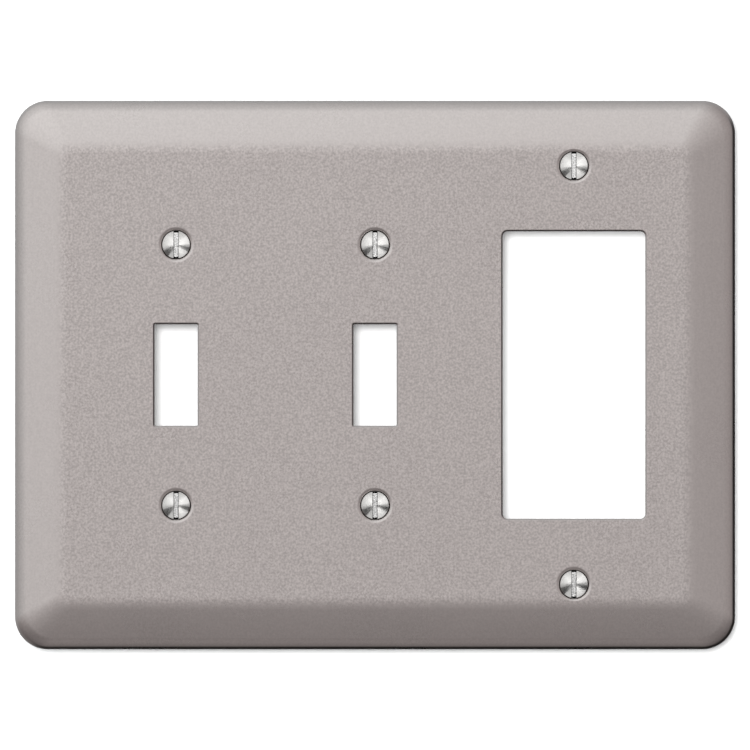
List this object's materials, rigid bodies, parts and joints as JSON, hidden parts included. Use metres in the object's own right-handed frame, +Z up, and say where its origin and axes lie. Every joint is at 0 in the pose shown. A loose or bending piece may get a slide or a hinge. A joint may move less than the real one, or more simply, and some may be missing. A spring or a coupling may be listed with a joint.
{
  "type": "wall plate",
  "caption": "Stamped brushed-metal wall plate with toggle and rocker openings, a bevelled rim and slotted oval-head screws that back out of its front.",
  "frame": {"origin": "middle of the wall plane that the rim's back edge touches, behind the middle toggle opening", "axes": "+Z up, +X to the right of someone facing the plate, +Y into the wall, so the front face looks along -Y"},
  "size_m": [0.1668, 0.0137, 0.127],
  "materials": {
    "satin_nickel": "brushed nickel plate with a satin, faintly grained surface",
    "polished_nickel": "bright nickel plate, turned heads with a rough-sawn slot"
  },
  "bodies": {
    "wall_plate": {"wall_plate": "satin_nickel"},
    "screw_toggle_left_top": {"screw_toggle_left_top": "polished_nickel"},
    "screw_toggle_left_bottom": {"screw_toggle_left_bottom": "polished_nickel"},
    "screw_toggle_mid_top": {"screw_toggle_mid_top": "polished_nickel"},
    "screw_toggle_mid_bottom": {"screw_toggle_mid_bottom": "polished_nickel"},
    "screw_rocker_top": {"screw_rocker_top": "polished_nickel"},
    "screw_rocker_bottom": {"screw_rocker_bottom": "polished_nickel"}
  },
  "joints": [
    {"name": "unscrew_toggle_left_top", "type": "slide", "parent": "wall_plate", "child": "screw_toggle_left_top", "axis": [0, -1, 0], "range_m": [0, 0.0135]},
    {"name": "unscrew_toggle_left_bottom", "type": "slide", "parent": "wall_plate", "child": "screw_toggle_left_bottom", "axis": [0, -1, 0], "range_m": [0, 0.0135]},
    {"name": "unscrew_toggle_mid_top", "type": "slide", "parent": "wall_plate", "child": "screw_toggle_mid_top", "axis": [0, -1, 0], "range_m": [0, 0.0135]},
    {"name": "unscrew_toggle_mid_bottom", "type": "slide", "parent": "wall_plate", "child": "screw_toggle_mid_bottom", "axis": [0, -1, 0], "range_m": [0, 0.0135]},
    {"name": "unscrew_rocker_top", "type": "slide", "parent": "wall_plate", "child": "screw_rocker_top", "axis": [0, -1, 0], "range_m": [0, 0.0135]},
    {"name": "unscrew_rocker_bottom", "type": "slide", "parent": "wall_plate", "child": "screw_rocker_bottom", "axis": [0, -1, 0], "range_m": [0, 0.0135]}
  ]
}
